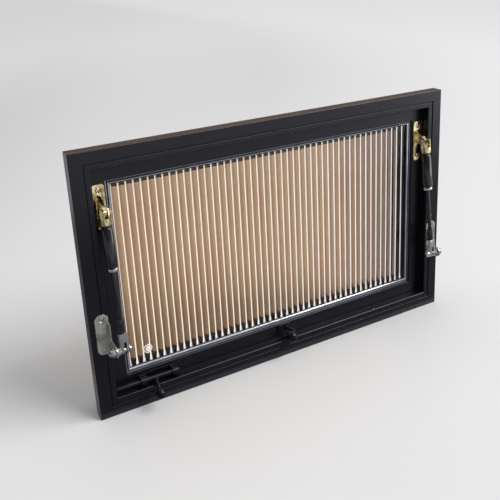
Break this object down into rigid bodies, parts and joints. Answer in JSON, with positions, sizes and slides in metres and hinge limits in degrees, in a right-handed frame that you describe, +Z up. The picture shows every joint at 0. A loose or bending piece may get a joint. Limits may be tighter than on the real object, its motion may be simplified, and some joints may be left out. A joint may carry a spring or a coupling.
{
  "type": "top-hung shed window with reeded glass",
  "caption": "Top-hung push-out shed window: black framed sash with ribbed tinted glass, side stays, a barrel bolt and a ball pull.",
  "frame": {"origin": "on the back face of the frame's flange, in the middle of its bottom strip, where the flange rests on the wall round the opening", "axes": "+X to the right seen from the room, +Y outdoors through the wall, +Z up"},
  "size_m": [0.6, 0.0904, 0.378],
  "materials": {
    "frame_paint": "satin black paint inside, brown wood tone outside",
    "sash_paint": "satin black paint inside, brown wood tone outside",
    "bead_metal": "bright satin",
    "seal_rubber": "matt",
    "reeded_glass": "bronze tinted, ribbed on the room face",
    "hinge_steel": "satin",
    "brass_plate": "yellow passivated, glossy",
    "stay_paint": "gloss black",
    "bright_steel": "bright plated",
    "zinc_plate": "zinc plated",
    "bolt_paint": "satin black paint"
  },
  "bodies": {
    "window": {"frame_left_jamb": "frame_paint", "frame_right_jamb": "frame_paint", "frame_head": "frame_paint", "frame_sill": "frame_paint", "sash_left_stile": "sash_paint", "sash_right_stile": "sash_paint", "sash_top_rail": "sash_paint", "sash_bottom_rail": "sash_paint", "glazing_bead_left": "bead_metal", "seal_left": "seal_rubber", "glazing_bead_right": "bead_metal", "seal_right": "seal_rubber", "glazing_bead_top": "bead_metal", "seal_top": "seal_rubber", "glazing_bead_bottom": "bead_metal", "seal_bottom": "seal_rubber", "reeded_glass": "reeded_glass", "hinge_left_frame_leaf": "hinge_steel", "hinge_left_sash_leaf": "hinge_steel", "hinge_left_pin": "hinge_steel", "stay_left_sash_bracket": "brass_plate", "stay_left_top_fitting": "brass_plate", "stay_left_top_pin": "brass_plate", "stay_left_body": "stay_paint", "stay_left_collar": "bright_steel", "stay_left_rod": "stay_paint", "stay_left_foot_fitting": "bright_steel", "stay_left_frame_bracket": "zinc_plate", "stay_left_foot_pin": "bright_steel", "hinge_right_frame_leaf": "hinge_steel", "hinge_right_sash_leaf": "hinge_steel", "hinge_right_pin": "hinge_steel", "stay_right_sash_bracket": "brass_plate", "stay_right_top_fitting": "brass_plate", "stay_right_top_pin": "brass_plate", "stay_right_body": "stay_paint", "stay_right_collar": "bright_steel", "stay_right_rod": "stay_paint", "stay_right_foot_fitting": "bright_steel", "stay_right_frame_bracket": "zinc_plate", "stay_right_foot_pin": "bright_steel", "bolt_base": "bolt_paint", "handle_base": "bolt_paint", "handle_neck": "bolt_paint"},
    "bolt": {"bolt_rod": "bolt_paint"}
  },
  "joints": [
    {"name": "bolt_slide", "type": "slide", "parent": "window", "child": "bolt", "axis": [1, 0, 0], "range_m": [0, 0.012]}
  ]
}
